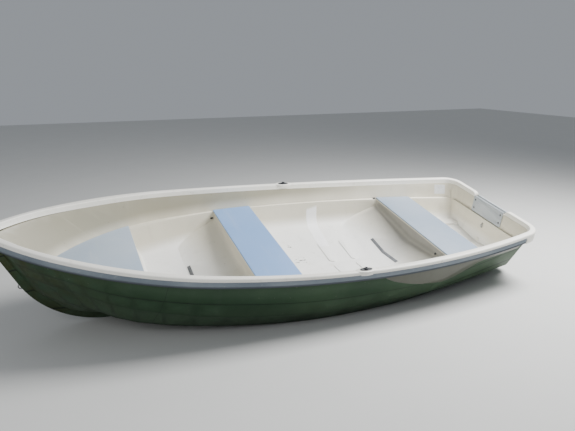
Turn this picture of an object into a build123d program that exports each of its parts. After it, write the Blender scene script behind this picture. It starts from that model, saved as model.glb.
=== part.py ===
from build123d import *
from math import asin, atan2, cos, degrees, hypot, radians, sin, sqrt, tan
import os

# Moulded rowing boat, 4 m long, lying on its keel and port bilge as it does ashore.
# It is drawn upright: X from the transom to the bow, Y to port, Z up from the keel's
# underside, in millimetres. The last step heels every piece over to where it rests.

# Overall sizes
length = 4000.0
half_beam = 752.0
stern_height = 555.0
bow_rise = 204.0
sheer_sag = 87.0

# Hull moulding
hull_skin = 8.0
lap_step = 7.0
seam_gap = 0.3
stern_corner_radius = 130.0
transom_inset = 14.0
keel_half_width = 18.0
keel_depth = 30.0
keel_root = 90.0
keel_heel_inset = 40.0
forefoot_radius = 620.0
forefoot_start = 3235.0
stem_angle = 65.0

# Rim
rim_height = 36.0
rim_overhang = 24.0
rim_bow_radius = 40.0

# Inner moulding
ledge_height = 386.0
ledge_bow_rise = 32.0
ledge_width = 18.0
floor_deadrise = 6.0
bilge_radius = 120.0
inside_bow_radius = 70.0
inside_corner_radius = 110.0
transom_thickness = 46.0
flare_height = 620.0
flare_bow_height = 760.0

# Seats: aft edge and front edge of each board
aft_thwart = (496.0, 820.0)
middle_thwart = (2024.0, 2342.0)
bow_seat_edge = 3035.0
board_thickness = 12.0
board_overhang = 8.0
board_side_gap = 4.0
board_corner = 6.0

# Fender
fender_height = 38.0
fender_depth = 21.0
fender_stern_end = 170.0
corner_cap_drop = 42.0
corner_cap_depth = 13.0
corner_cap_reach = 90.0

# Raised side panel under the fender, aft: the points its lower edge passes through
panel_thickness = 2.0
panel_gap = 0.8
panel_front = (1560.0, 500.0)
panel_bow_curve = (1300.0, 362.0)
panel_low = (1000.0, 311.0)
panel_turn = (700.0, 384.0)
panel_stern = (150.0, 386.0)

# Motor notch and pads
notch_half_width = 192.0
notch_depth = 42.0
notch_radius = 22.0
pad_height = 142.0
pad_half_width = 184.0
pad_inner_thickness = 8.0
pad_outer_thickness = 12.0
pad_rise = 21.0
pad_bolt_side_inset = 24.0
pad_bolt_end_inset = 34.0
pad_bolt_radius = 4.0
pad_bolt_head = 9.0
pad_bolt_head_height = 4.0
pad_corner = 8.0

# Rowlock sockets
rowlock_x = 1697.0
rowlock_inset = 26.0
rowlock_bore = 6.5
rowlock_tube = 11.0
rowlock_depth = 33.0
rowlock_collar_height = 9.0
plate_length = 92.0
plate_width = 34.0
plate_thickness = 4.0
boss_length = 150.0
boss_width = 62.0
boss_rise = 2.0

# Fittings
eye_bar = 4.0
eye_width = 34.0
bow_eye_height = 330.0
stern_eye_height = 325.0
drain_height = 190.0
drain_radius = 17.0
drain_seat = 77.0
drain_cap_height = 8.0
drain_flange_height = 4.0
drain_bore = 13.0
drain_cap_lap = 1.0
strip_width = 26.0
strip_half_length = 200.0
strip_thickness = 4.0
# Station of the foot strip on the sloping floor ahead of each thwart
aft_strip_x = 1060.0
forward_strip_x = 2650.0
eye_plate_width = 14.0
eye_plate_thickness = 3.0
eye_plate_margin = 8.0

# Foot-rest ribs on the middle floor, from near the middle out to each side
rib_height = 6.0
rib_start = 25.0
rib_end = 300.0
# (station, width)
rib_rows = [(1310.0, 48.0), (1500.0, 70.0)]

# Moulded step in each aft corner of the stern well
step_front = 262.0
step_inner_edge = 280.0
step_top = 222.0
step_round = 12.0

# Plan outlines: station as a share of the length, half breadth as a share of the half
# beam. Each stretch is an arc that starts along the one before it.
# name: (station, half_breadth)
rim_plan = {
    "stern": (0.0, 0.745),
    "widest": (0.4125, 1.0),
    "shoulder": (0.675, 0.895),
    "bow_quarter": (0.9, 0.4615),
    "tip": (1.0, 0.0),
}
flare_plan = {
    "stern": (0.0, 0.70),
    "widest": (0.3875, 0.992),
    "shoulder": (0.675, 0.852),
    "bow_quarter": (0.9, 0.416),
    "tip": (0.986, 0.0),
}
ledge_plan = {
    "stern": (0.0, 0.62),
    "widest": (0.475, 0.879),
    "shoulder": (0.675, 0.798),
    "bow_quarter": (0.825, 0.5),
    "tip": (0.925, 0.0),
}

# Hull lines. One row is one section, upright, turned by sweep from square across the
# boat to along it at the stem. keel_x is where it crosses the middle. Each pair is the
# distance out along the section and the height of one line: keel, the four laps from
# the bottom up, and then how far out the top edge is, since its height follows the rim.
# (keel_x, sweep, keel, bottom_lap, bilge_lap, low_lap, high_lap, top)
hull_lines = [
    (0, 0, (10, 135), (200, 150), (385, 170), (465, 262), (507, 372), 528),
    (600, 0, (10, 62), (250, 98), (480, 145), (600, 245), (633, 350), 647),
    (1300, 0, (10, 34), (310, 84), (588, 135), (668, 241), (702, 347), 719),
    (2000, 0, (10, 30), (320, 86), (600, 133), (678, 250), (706, 360), 722),
    (2600, 0, (10, 30), (285, 92), (530, 158), (620, 292), (646, 405), 662),
    (2980, 20, (10, 30), (225, 98), (415, 198), (510, 366), (544, 472), 560),
    (3150, 52, (10, 30), (185, 118), (340, 248), (445, 430), (498, 535), 535),
]
# Half width of the transom between its round corners, at two heights, and how fast the
# corners' trimming block widens forward from there.
# (height, half_width)
stern_corner_levels = [(-60.0, 292.0), (620.0, 576.0)]
stern_corner_flare = 0.225
stern_corner_reach = 1200.0
# At the stem the same lines end on the stem's own curve, at these heights.
# (bottom_lap, bilge_lap, low_lap, high_lap)
stem_heights = (150, 320, 480, 590)
stem_foot = 3200.0
stem_skin_share = 1.6
past_middle = 15.0
midship_row = 3
hull_divisions = 3

# Inside of the lower moulding, square across the boat.
# (station, half breadth at the ledge, half breadth at the foot, floor height)
well_lines = [
    (-100, 435, 355, 176),
    (600, 548, 500, 160),
    (1300, 622, 580, 150),
    (2000, 642, 600, 150),
    (2600, 585, 525, 154),
    (3200, 400, 290, 166),
]
# Each open space between the seats: the ends at floor level where the ramp starts, the
# ramp's slope in degrees, and the round where it turns up into the seat's front.
# (name, aft wall, front wall, floor, aft_slope, aft_run, front_slope, front_run)
wells = [
    ("stern", transom_thickness + ledge_width, aft_thwart[0] + board_overhang, 168.0, 80, 20, 80, 20),
    ("middle", aft_thwart[1] - board_overhang, middle_thwart[0] + board_overhang, 150.0, 21, 360, 70, 60),
    ("forward", middle_thwart[1] - board_overhang, bow_seat_edge + board_overhang, 156.0, 21, 340, 60, 90),
]
well_round = 50.0
well_divisions = 3
# Row of the space each foot strip lies in, and its station there
# (wells_row, station)
foot_strips = [(1, aft_strip_x), (2, forward_strip_x)]

# The lines above were drawn at these sizes, and stretch with the overall sizes.
drawn_length = 4000.0
drawn_half_beam = 752.0
drawn_height = 555.0
along = length / drawn_length
across = half_beam / drawn_half_beam
up = stern_height / drawn_height


def circle_through(a, b, c):
    """Centre and radius of the circle through three points."""
    d = 2 * (a[0] * (b[1] - c[1]) + b[0] * (c[1] - a[1]) + c[0] * (a[1] - b[1]))
    sa, sb, sc = (p[0] ** 2 + p[1] ** 2 for p in (a, b, c))
    x = (sa * (b[1] - c[1]) + sb * (c[1] - a[1]) + sc * (a[1] - b[1])) / d
    y = (sa * (c[0] - b[0]) + sb * (a[0] - c[0]) + sc * (b[0] - a[0])) / d
    return x, y, hypot(a[0] - x, a[1] - y)


def long_arc(start, rise, sag, drop=0.0):
    """Three points of an arc over the boat's length, seen from the side."""
    middle = start + rise / 2 - sag
    return (0, start - drop), (length / 2, middle - drop), (length, start + rise - drop)


def height_on(arc, x):
    """Height at x of the arc through three points."""
    centre_x, centre_z, radius = circle_through(*arc)
    return centre_z - sqrt(radius * radius - (x - centre_x) ** 2)


def rim_line(drop=0.0):
    return long_arc(stern_height, bow_rise, sheer_sag, drop)


def rising_plane(height, rise):
    """Plane at a height at the transom that rises by so much over the boat's length."""
    turn = atan2(rise, length)
    return Plane(origin=(0, 0, height * up), x_dir=(cos(turn), 0, sin(turn)),
                 z_dir=(-sin(turn), 0, cos(turn)))


def under(arc, bottom):
    """Everything between a side arc and a level, or a second side arc."""
    top = ThreePointArc(*arc)
    if isinstance(bottom, tuple):
        low = ThreePointArc(*bottom)
    else:
        low = Line((0, bottom), (length, bottom))
    side = make_face([top, Line(top @ 1, low @ 1), low, Line(low @ 0, top @ 0)])
    return extrude(Plane.XZ * side, amount=2 * half_beam, both=True)


def beside(arc, distance):
    """Arc parallel to one stretch of an outline, on the boat's side of it."""
    centre = arc.arc_center
    scale = (arc.radius - distance) / arc.radius
    return ThreePointArc(*(centre + (arc @ t - centre) * scale for t in (0, 0.5, 1)))


def plan_face(table, stern_x, corner_radius, tip_radius, inset=0.0):
    """Face inside an outline table, cut straight at the stern with round corners."""
    p = {name: (s * length, b * half_beam) for name, (s, b) in table.items()}
    aft = TangentArc(p["widest"], p["stern"], tangent=(-1, 0))
    fore = TangentArc(p["widest"], p["shoulder"], tangent=(1, 0))
    bow = TangentArc(p["shoulder"], p["bow_quarter"], tangent=fore % 1)
    tip = TangentArc(p["bow_quarter"], p["tip"], tangent=bow % 1)
    port = [beside(edge, inset) for edge in (aft, fore, bow, tip)]
    stern, end = port[0] @ 1, port[-1] @ 1
    back = Polyline(end, (end.X, -half_beam), (stern.X, -half_beam), stern)
    cut_x = stern_x + inset
    side = Pos(cut_x + length, 2 * half_beam) * Rectangle(2 * length, 4 * half_beam)
    half = make_face(port + [back]) & side if cut_x > 0 else make_face(port + [back])
    half = half & (Pos(0, 2 * half_beam) * Rectangle(4 * length, 4 * half_beam))
    face = (half + mirror(half, about=Plane.XZ)).face()
    corners = [v for v in face.vertices() if abs(v.X - cut_x) < 0.1 and abs(v.Y) > 1]
    face = fillet(corners, corner_radius - inset).face()
    return fillet(face.vertices().sort_by(Axis.X)[-1:], tip_radius - inset).face()


def mirrored(half):
    """A port half and its mirror image as one solid."""
    return half + mirror(half, about=Plane.XZ)


def port_side(shape):
    """What lies to port of the middle plane."""
    side = Pos(length / 2, 2 * half_beam, 0) * Box(2 * length, 4 * half_beam, 4 * length)
    return shape & side


def offset_line(points, distance):
    """Polyline moved sideways by distance, to the left of its direction."""
    moved = []
    for i, (x, y) in enumerate(points):
        normals = []
        for a, b in ((i - 1, i), (i, i + 1)):
            if a >= 0 and b < len(points):
                dx = points[b][0] - points[a][0]
                dy = points[b][1] - points[a][1]
                normals.append((-dy / hypot(dx, dy), dx / hypot(dx, dy)))
        nx = sum(n[0] for n in normals) / len(normals)
        ny = sum(n[1] for n in normals) / len(normals)
        scale = distance / (nx * nx + ny * ny)
        moved.append((x + nx * scale, y + ny * scale))
    return moved


def lapped(points, step):
    """Polyline with each strake's lower edge standing proud of the one below."""
    out = [points[0]]
    for i in range(1, len(points) - 1):
        dx = points[i][0] - points[i - 1][0]
        dy = points[i][1] - points[i - 1][1]
        size = hypot(dx, dy)
        out.append(points[i])
        out.append((points[i][0] + step * dy / size, points[i][1] - step * dx / size))
    out.append(points[-1])
    return out


def stem_point(height, depth):
    """Point of the stem's curve that lies depth inside its outer edge."""
    radius = forefoot_radius - depth
    turn = radians(stem_angle)
    start = forefoot_start * along
    arc_top = forefoot_radius - radius * cos(turn)
    if height < arc_top:
        fall = forefoot_radius - height
        return start + sqrt(radius * radius - fall * fall), height
    return start + radius * sin(turn) + (height - arc_top) / tan(turn), height


def section_wire(plane, line, back):
    """Half section closed down a line at back, on the far side of the middle."""
    closed = [(back, line[0][1])] + line + [(back, line[-1][1])]
    return Wire.make_polygon([plane.from_local_coords((a, b, 0)) for a, b in closed])


def through(values, t):
    """Value at t of a smooth curve through a list of values, one for each whole t."""
    i = min(int(t), len(values) - 2)
    u = t - i
    b, c = values[i], values[i + 1]
    a = values[i - 1] if i > 0 else 2 * b - c
    d = values[i + 2] if i + 2 < len(values) else 2 * c - b
    return b + u / 2 * (c - a + u * (2 * a - 5 * b + 4 * c - d + u * (3 * (b - c) + d - a)))


def smooth_rows(rows, divisions):
    """The rows of a table with more between them, on smooth curves down each column."""
    columns = list(zip(*rows))
    steps = range(divisions * (len(rows) - 1) + 1)
    return [[through(column, k / divisions) for column in columns] for k in steps]


def hull_rows():
    """Hull lines in millimetres, with the stem's own curve as the last row."""
    rows = []
    for keel_x, sweep, *pairs, top in hull_lines:
        end_x = keel_x * along + top * across * sin(radians(sweep))
        row = [keel_x * along, 0, sweep, 1]
        for run, height in pairs:
            row += [run * across, height * up]
        rows.append(row + [top * across, height_on(rim_line(rim_height / 2), end_x)])
    foot = stem_foot * along
    stem = [foot, -past_middle, 90, stem_skin_share]
    top = stern_height + bow_rise - rim_height / 2
    for height in [keel_depth] + [h * up for h in stem_heights] + [top]:
        x, z = stem_point(height, keel_depth)
        stem += [x - foot, z]
    return rows + [stem]


def hull_half(inset, step):
    """Port half of the hull's volume, inset all over, with lap steps if any."""
    wires = []
    for x, y, sweep, skin_share, *pairs in smooth_rows(hull_rows(), hull_divisions):
        turn = radians(sweep)
        out = Vector(sin(turn), cos(turn), 0)
        plane = Plane(origin=(x, y, 0), x_dir=out, z_dir=out.cross(Vector(0, 0, 1)))
        line = list(zip(pairs[::2], pairs[1::2]))
        line = offset_line(line, skin_share * inset) if inset else line
        line = lapped(line, step) if step else line
        wires.append(section_wire(plane, line, -past_middle))
    return port_side(Solid.make_loft(wires, ruled=True))


def stern_envelope(inset):
    """Flared block whose round aft corners trim the transom's corners."""
    faces = []
    for z, half in stern_corner_levels:
        half = half * across - inset
        wide = half + stern_corner_flare * stern_corner_reach
        aft, fore = transom_inset + inset, stern_corner_reach
        shape = make_face(Polyline((aft, -half), (aft, half), (fore, wide), (fore, -wide), close=True))
        corners = shape.vertices().filter_by_position(Axis.X, aft - 1, aft + 1)
        face = fillet(corners, stern_corner_radius - inset).face()
        faces.append(Pos(0, 0, z * up) * face)
    block = Solid.make_loft([f.outer_wire() for f in faces], ruled=True)
    return block + box_ahead(stern_corner_reach)


def keel_bar():
    """Keel and stem as one moulded bar along the middle, rooted inside the hull."""
    turn = radians(stem_angle)
    start = forefoot_start * along
    arc_end = (start + forefoot_radius * sin(turn), forefoot_radius * (1 - cos(turn)))
    top = height_on(rim_line(rim_height + seam_gap), length)
    top_x = arc_end[0] + (top - arc_end[1]) / tan(turn)
    inner = [stem_point(h, keel_root) for h in (keel_root, arc_end[1], top)]
    hull_at_stern = hull_lines[0][2][1] * up
    skin_x = transom_inset + hull_skin / 2
    side = make_face(
        [
            Line((keel_heel_inset, 0), (start, 0)),
            RadiusArc((start, 0), arc_end, -forefoot_radius),
            Line(arc_end, (top_x, top)),
            Polyline((top_x, top), *reversed(inner)),
            Polyline(
                inner[0], (length / 4, keel_root + 2 * keel_depth),
                (2 * keel_heel_inset, hull_at_stern + keel_root),
                (skin_x, hull_at_stern + keel_root), (skin_x, hull_at_stern),
                (keel_heel_inset, 0),
            ),
        ]
    )
    return extrude(Plane.XZ * side, amount=keel_half_width, both=True)


def upper_inside():
    """Open space above the seat ledge, up past the rim."""
    low = plan_face(ledge_plan, transom_thickness, inside_corner_radius, inside_bow_radius)
    high = plan_face(flare_plan, transom_thickness, inside_corner_radius, inside_bow_radius)
    low = rising_plane(ledge_height, ledge_bow_rise) * low
    high = rising_plane(flare_height, flare_bow_height - flare_height) * high
    return Solid.make_loft([low.outer_wire(), high.outer_wire()], ruled=True)


def floor_ribs():
    """Foot-rest ribs standing on the middle floor, on both sides of the middle."""
    slope = radians(floor_deadrise)
    floor = wells[1][3] * up
    ribs = []
    for x, width in rib_rows:
        plane = Plane(origin=(x, 0, floor), x_dir=(0, cos(slope), sin(slope)),
                      z_dir=(0, -sin(slope), cos(slope)))
        slot = Pos((rib_start + rib_end) / 2, 0) * SlotOverall(rib_end - rib_start, width)
        ribs.append(mirrored(extrude(plane * slot, amount=rib_height, both=True)))
    return ribs


def stern_steps():
    """Blocks standing in the two aft corners of the stern well."""
    width, foot = half_beam - step_inner_edge, keel_depth
    block = Box(step_front, width, step_top * up - foot, align=Align.MIN)
    block = fillet(block.edges().filter_by(Axis.Z), 3 * step_round)
    block = fillet(block.edges().group_by(Axis.Z)[-1], step_round)
    return mirrored(Pos(0, step_inner_edge, foot) * block)


def lower_tunnel():
    """Side walls and round bilges of the lower moulding, from end to end."""
    clear_floor = 1.5
    wires = []
    for x, top_half, foot_half, floor in smooth_rows(well_lines, well_divisions):
        z0 = floor * up - clear_floor
        rise = tan(radians(floor_deadrise)) * foot_half * across
        top = (ledge_height + 70) * up
        lean = (top_half - foot_half) * across * 70 / (ledge_height - floor)
        points = [
            (0, z0), (foot_half * across, z0 + rise), (top_half * across + lean, top),
            (-top_half * across - lean, top), (-foot_half * across, z0 + rise),
        ]
        plane = Plane(origin=(x * along, 0, 0), x_dir=(0, 1, 0), z_dir=(1, 0, 0))
        shape = make_face(Polyline(*points, close=True))
        feet = [v for v in shape.vertices() if abs(v.Y - z0 - rise) < 1]
        wires.append((plane * fillet(feet, bilge_radius).face()).outer_wire())
    return Solid.make_loft(wires, ruled=True)


def well_prism(aft, front, floor, aft_slope, aft_run, front_slope, front_run):
    """Side profile of one space between seats, drawn out along the floor's slope."""
    z0 = floor * up
    top = 2 * stern_height
    aft_foot = z0 + tan(radians(aft_slope)) * aft_run
    front_foot = z0 + tan(radians(front_slope)) * front_run
    outline = Polyline(
        (aft, top), (aft, aft_foot), (aft + aft_run, z0),
        (front - front_run, z0), (front, front_foot), (front, top), close=True,
    )
    shape = make_face(outline)
    feet = [v for v in shape.vertices() if v.Z + v.Y < top - 1 and abs(v.Y - z0) > 1]
    shape = fillet(feet, well_round).face()
    slope = radians(floor_deadrise)
    half = extrude(Plane.XZ * shape, amount=half_beam, dir=(0, cos(slope), sin(slope)))
    return mirrored(half)


def motor_notch():
    """Cut in the transom's top edge for an outboard motor."""
    bottom = stern_height - notch_depth
    top = stern_height + 200
    outline = Polyline(
        (-notch_half_width, top), (-notch_half_width, bottom),
        (notch_half_width, bottom), (notch_half_width, top), close=True,
    )
    shape = make_face(outline)
    feet = shape.vertices().filter_by_position(Axis.Y, bottom - 1, bottom + 1)
    shape = fillet(feet, notch_radius).face()
    plane = Plane(origin=(-50, 0, 0), x_dir=(0, 1, 0), z_dir=(1, 0, 0))
    return extrude(plane * shape, amount=50 + 2 * transom_thickness)


# Rim outline at a station, used to place the rowlocks and the fender's end
def rim_half_breadth(x):
    """Half breadth of the rim's outer edge between stern and shoulder."""
    widest_x, widest_y = (rim_plan["widest"][0] * length, rim_plan["widest"][1] * half_beam)
    end = "stern" if x < widest_x else "shoulder"
    end_x, end_y = (rim_plan[end][0] * length, rim_plan[end][1] * half_beam)
    run, fall = end_x - widest_x, widest_y - end_y
    radius = (run * run + fall * fall) / (2 * fall)
    return widest_y - radius + sqrt(radius * radius - (x - widest_x) ** 2)


def box_ahead(x):
    """Everything ahead of a station."""
    return Pos(x + 2 * length, 0, 0) * Box(4 * length, 4 * length, 4 * length)


def rim_prism(inset=0.0):
    """Everything inside the rim's outline, or inside a line parallel to it."""
    corner_radius = stern_corner_radius + rim_overhang
    face = plan_face(rim_plan, 0, corner_radius, rim_bow_radius, inset)
    return extrude(Pos(0, 0, -keel_depth) * face, amount=3 * stern_height)


def rim_ring(depth, top_drop, bottom_drop):
    """Band along the rim's outer edge, between two lines parallel to the rim."""
    band = rim_prism() - rim_prism(depth)
    return band & under(rim_line(top_drop), rim_line(bottom_drop))


def rowlock_place(side):
    """Place of a rowlock socket on the rim, port 1 or starboard -1."""
    step = 1.0
    x = rowlock_x
    y = rim_half_breadth(x) - rowlock_inset
    yaw = degrees(atan2(rim_half_breadth(x + step) - rim_half_breadth(x - step), 2 * step))
    ahead, behind = height_on(rim_line(), x + step), height_on(rim_line(), x - step)
    pitch = degrees(atan2(ahead - behind, 2 * step))
    z = height_on(rim_line(), x) + boss_rise
    return Pos(x, side * y, z) * Rot(0, 0, side * yaw) * Rot(0, -pitch, 0)


def make_hull(below_rim, notch, bolt_holes, drain_hole):
    """Outer moulding: lapped skin, transom and keel in one."""
    bow_x = rim_plan["bow_quarter"][0] * length
    past_fender = box_ahead(bow_x) - rim_prism(fender_depth + seam_gap)
    outer = (hull_half(0, lap_step) & below_rim & stern_envelope(0)) - past_fender
    inner = hull_half(hull_skin, 0) & stern_envelope(hull_skin)
    keel = (keel_bar() & below_rim) - past_fender - mirrored(inner)
    return mirrored(outer - inner) + keel - notch - bolt_holes - drain_hole


def make_inner_moulding(below_rim, notch, inside, bolt_holes, drain_hole):
    """Inner moulding on its foam core, with the seat boxes and the three wells."""
    gap = hull_skin + seam_gap
    liner = mirrored(hull_half(gap, 0) & below_rim & stern_envelope(gap)) - inside
    tunnel = lower_tunnel()
    for name, *profile in wells:
        space = well_prism(*profile) & tunnel
        if name == "stern":
            space = space - stern_steps()
        if name == "middle":
            for rib in floor_ribs():
                space = space - rib
        liner = liner - space
    for row, station in foot_strips:
        liner = liner - foot_strip(row, station, seam_gap)
    return liner - notch - bolt_holes - drain_hole


def seats():
    """Aft and front edges of the three seat boards."""
    return [aft_thwart, middle_thwart, (bow_seat_edge, ledge_plan["tip"][0] * length)]


def make_board(aft, front):
    """Seat board lying on its box and on the ledges."""
    outline = plan_face(ledge_plan, transom_thickness, inside_corner_radius,
                        inside_bow_radius, board_side_gap)
    strip = Pos((aft + front) / 2, 0) * Rectangle(front - aft, 4 * half_beam)
    face = (outline & strip).face()
    ends = [v for v in face.vertices() if min(abs(v.X - aft), abs(v.X - front)) < 0.5]
    face = fillet(ends, board_corner).face()
    return extrude(rising_plane(ledge_height, ledge_bow_rise) * face, amount=board_thickness)


def make_gunwale(inside, notch):
    """Rim around the boat, with the two oval bosses for the rowlocks."""
    rim = (rim_prism() & under(rim_line(), rim_line(rim_height))) - inside - notch
    for side in (1, -1):
        place = rowlock_place(side)
        boss = extrude(Ellipse(boss_length / 2, boss_width / 2), amount=-(rim_height - 1))
        rim = rim + place * boss
        rim = rim - place * Cylinder(rowlock_tube + seam_gap, 4 * rim_height)
    return rim


def make_fender(side):
    """Rubber fender under the rim's outer edge, from the stern quarter to the bow."""
    top = rim_height + seam_gap
    band = rim_ring(fender_depth, top, top + fender_height) & box_ahead(fender_stern_end)
    half = port_side(band)
    return half if side > 0 else mirror(half, about=Plane.XZ)


def panel_profile():
    """Side view of the raised panel: a wave below, and the fender's underside above."""
    points = [(x * along, z * up) for x, z in (
        panel_front, panel_bow_curve, panel_low, panel_turn, panel_stern)]
    front, curve, low, turn, stern = points
    fore = ThreePointArc(front, curve, low)
    middle = TangentArc(low, turn, tangent=fore % 1)
    aft = TangentArc(turn, stern, tangent=middle % 1)
    back = Polyline(stern, (stern[0], stern_height), (front[0], stern_height), front)
    shape = make_face([fore, middle, aft, back])
    return extrude(Plane.XZ * shape, amount=2 * half_beam, both=True)


def make_side_panel(side):
    """Thin raised panel on the hull's side, under the aft end of the fender."""
    skins = [hull_half(-out, lap_step) & stern_envelope(-out)
             for out in (panel_gap + panel_thickness, panel_gap)]
    top = rim_height + fender_height + 3 * seam_gap
    shell = Pos(0, 0, -panel_gap) * (skins[0] - skins[1])
    half = shell & panel_profile() & under(rim_line(top), -keel_depth)
    return half if side > 0 else mirror(half, about=Plane.XZ)


def make_corner_cap(side):
    """Turned-down corner of the rim at the stern, where the fender ends."""
    top = rim_height + seam_gap
    band = rim_ring(corner_cap_depth, top, top + corner_cap_drop)
    band = band - box_ahead(fender_stern_end - 1)
    reach = rim_plan["stern"][1] * half_beam - stern_corner_radius - corner_cap_reach
    half = band & (Pos(0, reach + half_beam, 0) * Box(4 * length, 2 * half_beam, 4 * length))
    return half if side > 0 else mirror(half, about=Plane.XZ)


def pad_bolt_points():
    """Middles of the four bolts through the motor pads, as across and height."""
    top = stern_height - notch_depth + pad_rise
    y = pad_half_width - pad_bolt_side_inset
    return [(s * y, top - pad_bolt_end_inset if t else top - pad_height + pad_bolt_end_inset)
            for s in (-1, 1) for t in (0, 1)]


def bolt_cylinders(radius, start, end):
    """One rod at each bolt point, between two stations."""
    rods = []
    for y, z in pad_bolt_points():
        plane = Plane(origin=(start, y, z), x_dir=(0, 1, 0), z_dir=(1, 0, 0))
        rods.append(extrude(plane * Circle(radius), amount=end - start))
    return rods


def make_pad(start, thickness, face):
    """Rounded clamping pad for the motor, with the bolt heads sunk in its face."""
    top = stern_height - notch_depth + pad_rise
    plane = Plane(origin=(start, 0, top - pad_height / 2), x_dir=(0, 1, 0), z_dir=(1, 0, 0))
    outline = RectangleRounded(2 * pad_half_width, pad_height, pad_corner)
    pad = extrude(plane * outline, amount=thickness)
    radius = pad_bolt_radius + seam_gap
    for hole in bolt_cylinders(radius, start - seam_gap, start + thickness + seam_gap):
        pad = pad - hole
    deep = pad_bolt_head_height + seam_gap
    for sink in bolt_cylinders(pad_bolt_head + seam_gap, face - deep, face + deep):
        pad = pad - sink
    return pad


def make_pad_bolts():
    """Four bolts through both pads, with round heads flush inside and nuts outside."""
    inner = transom_thickness + pad_inner_thickness
    outer = transom_inset - pad_outer_thickness
    shanks = bolt_cylinders(pad_bolt_radius, outer, inner)
    heads = bolt_cylinders(pad_bolt_head, inner - pad_bolt_head_height, inner)
    nuts = bolt_cylinders(pad_bolt_head, outer, outer + pad_bolt_head_height)
    return Compound([(s + h + n).solid() for s, h, n in zip(shanks, heads, nuts)])


def make_rowlock_socket(side):
    """Oval plate with a collar and a tube that takes the rowlock's pin."""
    plate = extrude(Ellipse(plate_length / 2, plate_width / 2), amount=plate_thickness)
    collar_height = plate_thickness + rowlock_collar_height
    collar = extrude(Circle(rowlock_tube + 2), amount=collar_height)
    tube = extrude(Circle(rowlock_tube), amount=-rowlock_depth)
    socket = plate + collar + tube
    socket = socket - Cylinder(rowlock_bore, 4 * rim_height)
    return rowlock_place(side) * socket


def foot_strip(row, station, clearance):
    """Strip across the sloping floor ahead of a seat, bent in the middle."""
    name, aft, front, floor, aft_slope, aft_run, *rest = wells[row]
    slope = radians(aft_slope)
    foot = aft + aft_run
    z = floor * up + (foot - station) * tan(slope)
    plane = Plane(origin=(station, 0, z), x_dir=(-cos(slope), 0, sin(slope)), z_dir=(0, 1, 0))
    size = (strip_width + 2 * clearance, strip_thickness + 2 * clearance)
    rise = radians(floor_deadrise)
    half = extrude(plane * Rectangle(*size), amount=strip_half_length + clearance,
                   dir=(0, cos(rise), sin(rise)))
    return mirrored(half)


def drain_rod(radius, start, end):
    """Round rod through the transom at the drain, between two stations."""
    plane = Plane(origin=(start, 0, drain_height * up), x_dir=(0, 1, 0), z_dir=(1, 0, 0))
    return extrude(plane * Circle(radius), amount=end - start)


def make_eye():
    """Half ring on a small plate, standing out along X."""
    plate = Box(eye_plate_thickness, eye_plate_width, eye_width + 2 * eye_plate_margin)
    plate = Pos(eye_plate_thickness / 2, 0, 0) * plate
    path = ThreePointArc((0, -eye_width / 2), (eye_width / 2, 0), (0, eye_width / 2))
    path = Plane.XZ * path
    ring = sweep(Plane(origin=path @ 0, z_dir=path % 0) * Circle(eye_bar), path=path)
    return plate + (ring & box_ahead(eye_plate_thickness / 3))


def make_parts():
    """Every piece of the boat, upright, by name."""
    below_rim = under(rim_line(rim_height + seam_gap), -100.0)
    notch = motor_notch()
    inside = upper_inside()
    bolt_holes = bolt_cylinders(pad_bolt_radius + seam_gap, -20, 2 * transom_thickness)
    well_x = transom_thickness + ledge_width
    drain_hole = drain_rod(drain_bore, 0, drain_seat + drain_cap_lap)
    drain_hole = drain_hole + drain_rod(drain_radius + drain_cap_lap, drain_seat, 2 * drain_seat)
    parts = {}
    parts["hull_shell"] = make_hull(below_rim, notch, bolt_holes, drain_hole)
    parts["inner_moulding"] = make_inner_moulding(
        below_rim, notch, inside, bolt_holes, drain_hole)
    parts["gunwale"] = make_gunwale(inside, notch)
    for name, (aft, front) in zip(("aft_thwart", "middle_thwart", "bow_seat"), seats()):
        parts[name] = make_board(aft, front)
    for name, side in (("port", 1), ("starboard", -1)):
        parts["fender_" + name] = make_fender(side)
        parts["stern_corner_" + name] = make_corner_cap(side)
        parts["side_panel_" + name] = make_side_panel(side)
        parts["rowlock_socket_" + name] = make_rowlock_socket(side)
    inner_face = transom_thickness + pad_inner_thickness
    outer_face = transom_inset - pad_outer_thickness
    parts["motor_pad_inner"] = make_pad(transom_thickness, pad_inner_thickness, inner_face)
    parts["motor_pad_outer"] = make_pad(outer_face, pad_outer_thickness, outer_face)
    parts["motor_pad_bolts"] = make_pad_bolts()
    for name, (row, station) in zip(("aft", "forward"), foot_strips):
        parts[name + "_foot_strip"] = foot_strip(row, station, 0)
    parts["stern_eye"] = Pos(well_x, 0, stern_eye_height * up) * make_eye()
    eye_x, eye_z = stem_point(bow_eye_height * up, 0)
    lean = degrees(asin(1 - eye_z / forefoot_radius))
    parts["bow_eye"] = Pos(eye_x, 0, eye_z) * Rot(0, lean, 0) * make_eye()
    flange_face = transom_inset - drain_flange_height
    plug = drain_rod(drain_bore - seam_gap, flange_face, drain_seat + drain_cap_lap)
    flange = drain_rod(drain_radius, flange_face, transom_inset)
    cap = drain_rod(drain_radius, drain_seat, drain_seat + drain_cap_height)
    parts["drain_plug"] = plug + flange + cap
    return parts


def resting_heel():
    """Angle that lays the keel's edge and the port bilge on the ground, in degrees."""
    row = hull_lines[midship_row]
    below, bilge = row[3], row[4]
    dx, dz = (bilge[0] - below[0]) * across, (bilge[1] - below[1]) * up
    size = hypot(dx, dz)
    bilge_y = bilge[0] * across + lap_step * dz / size
    bilge_z = bilge[1] * up - lap_step * dx / size
    return degrees(atan2(bilge_z, bilge_y - keel_half_width))


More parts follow.
